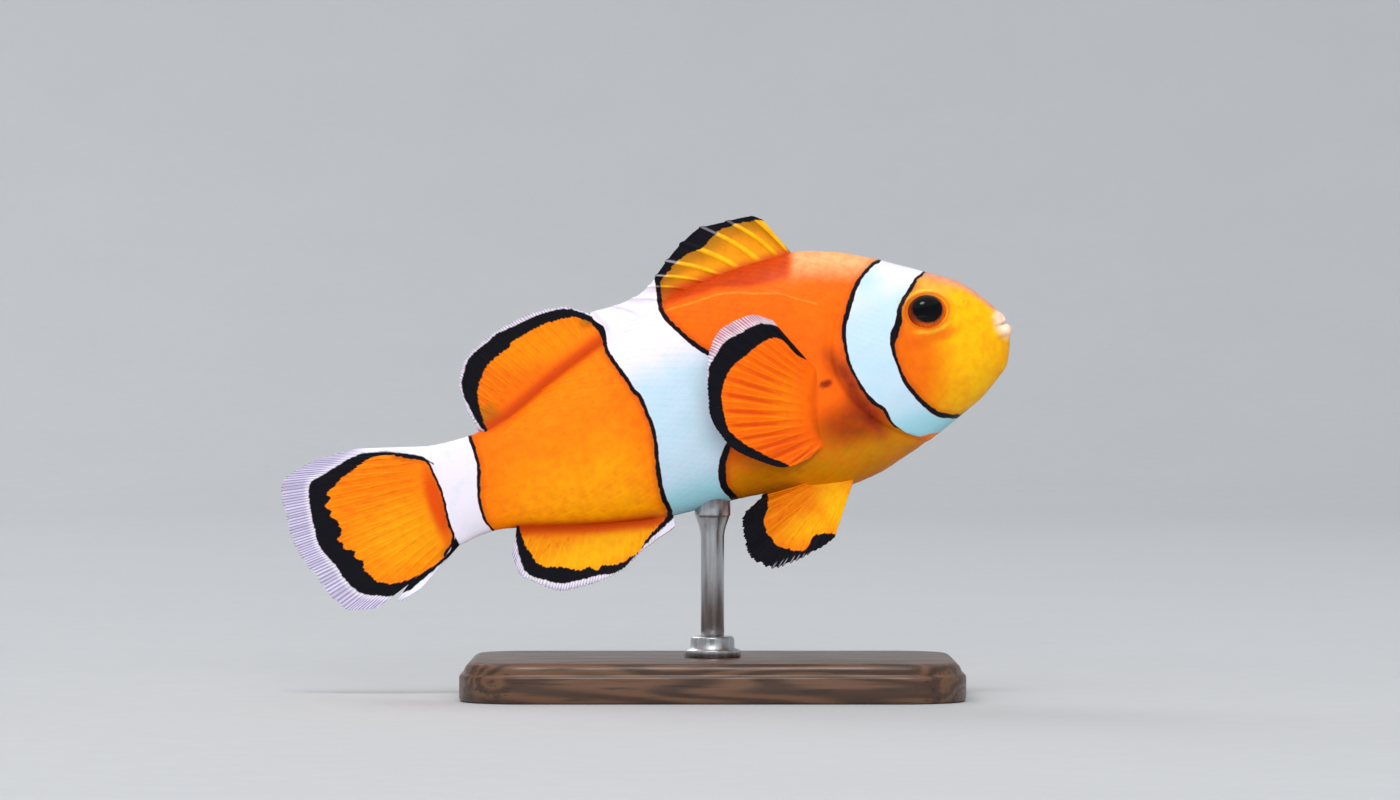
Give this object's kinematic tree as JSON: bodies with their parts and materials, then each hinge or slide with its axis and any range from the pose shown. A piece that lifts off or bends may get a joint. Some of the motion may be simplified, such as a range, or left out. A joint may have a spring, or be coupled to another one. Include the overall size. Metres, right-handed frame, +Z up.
{
  "type": "clownfish",
  "caption": "Still, life-size display model of a banded orange clownfish, swimming nose up on a small rod stand.",
  "frame": {"origin": "middle of the stand's foot, on the floor, straight under the rod", "axes": "+X ahead of the fish, +Y to its left, +Z up"},
  "size_m": [0.0932, 0.04, 0.0615],
  "materials": {
    "face_skin": "moist satin skin, yellow snout turning orange on the cheek",
    "body_skin": "moist satin skin, orange with fine scales, white bands with black edges",
    "band_skin": "moist satin skin, white with a faint blue cast and black edges",
    "eye": "wet gloss, black pupil in a brick-orange ring",
    "median_fin": "satin ribbed membrane, orange with a black band and a pale fringe",
    "paired_fin": "satin ribbed membrane, red-orange with a black edge",
    "stand_wood": "dark stained hardwood, satin lacquer",
    "stand_steel": "fine brushed"
  },
  "bodies": {
    "root": {"head": "face_skin", "lower_jaw": "face_skin", "gill_cover_right": "band_skin", "gill_cover_left": "band_skin", "trunk": "body_skin", "tail_stalk": "band_skin", "eye_right": "eye", "eye_left": "eye", "dorsal_fin_spiny": "median_fin", "dorsal_fin_soft": "median_fin", "anal_fin": "median_fin", "tail_fin": "median_fin", "pectoral_fin_right": "paired_fin", "pectoral_fin_left": "paired_fin", "pelvic_fin_right": "paired_fin", "pelvic_fin_left": "paired_fin", "stand_base": "stand_wood", "stand_collar": "stand_steel", "stand_rod": "stand_steel"}
  },
  "joints": []
}
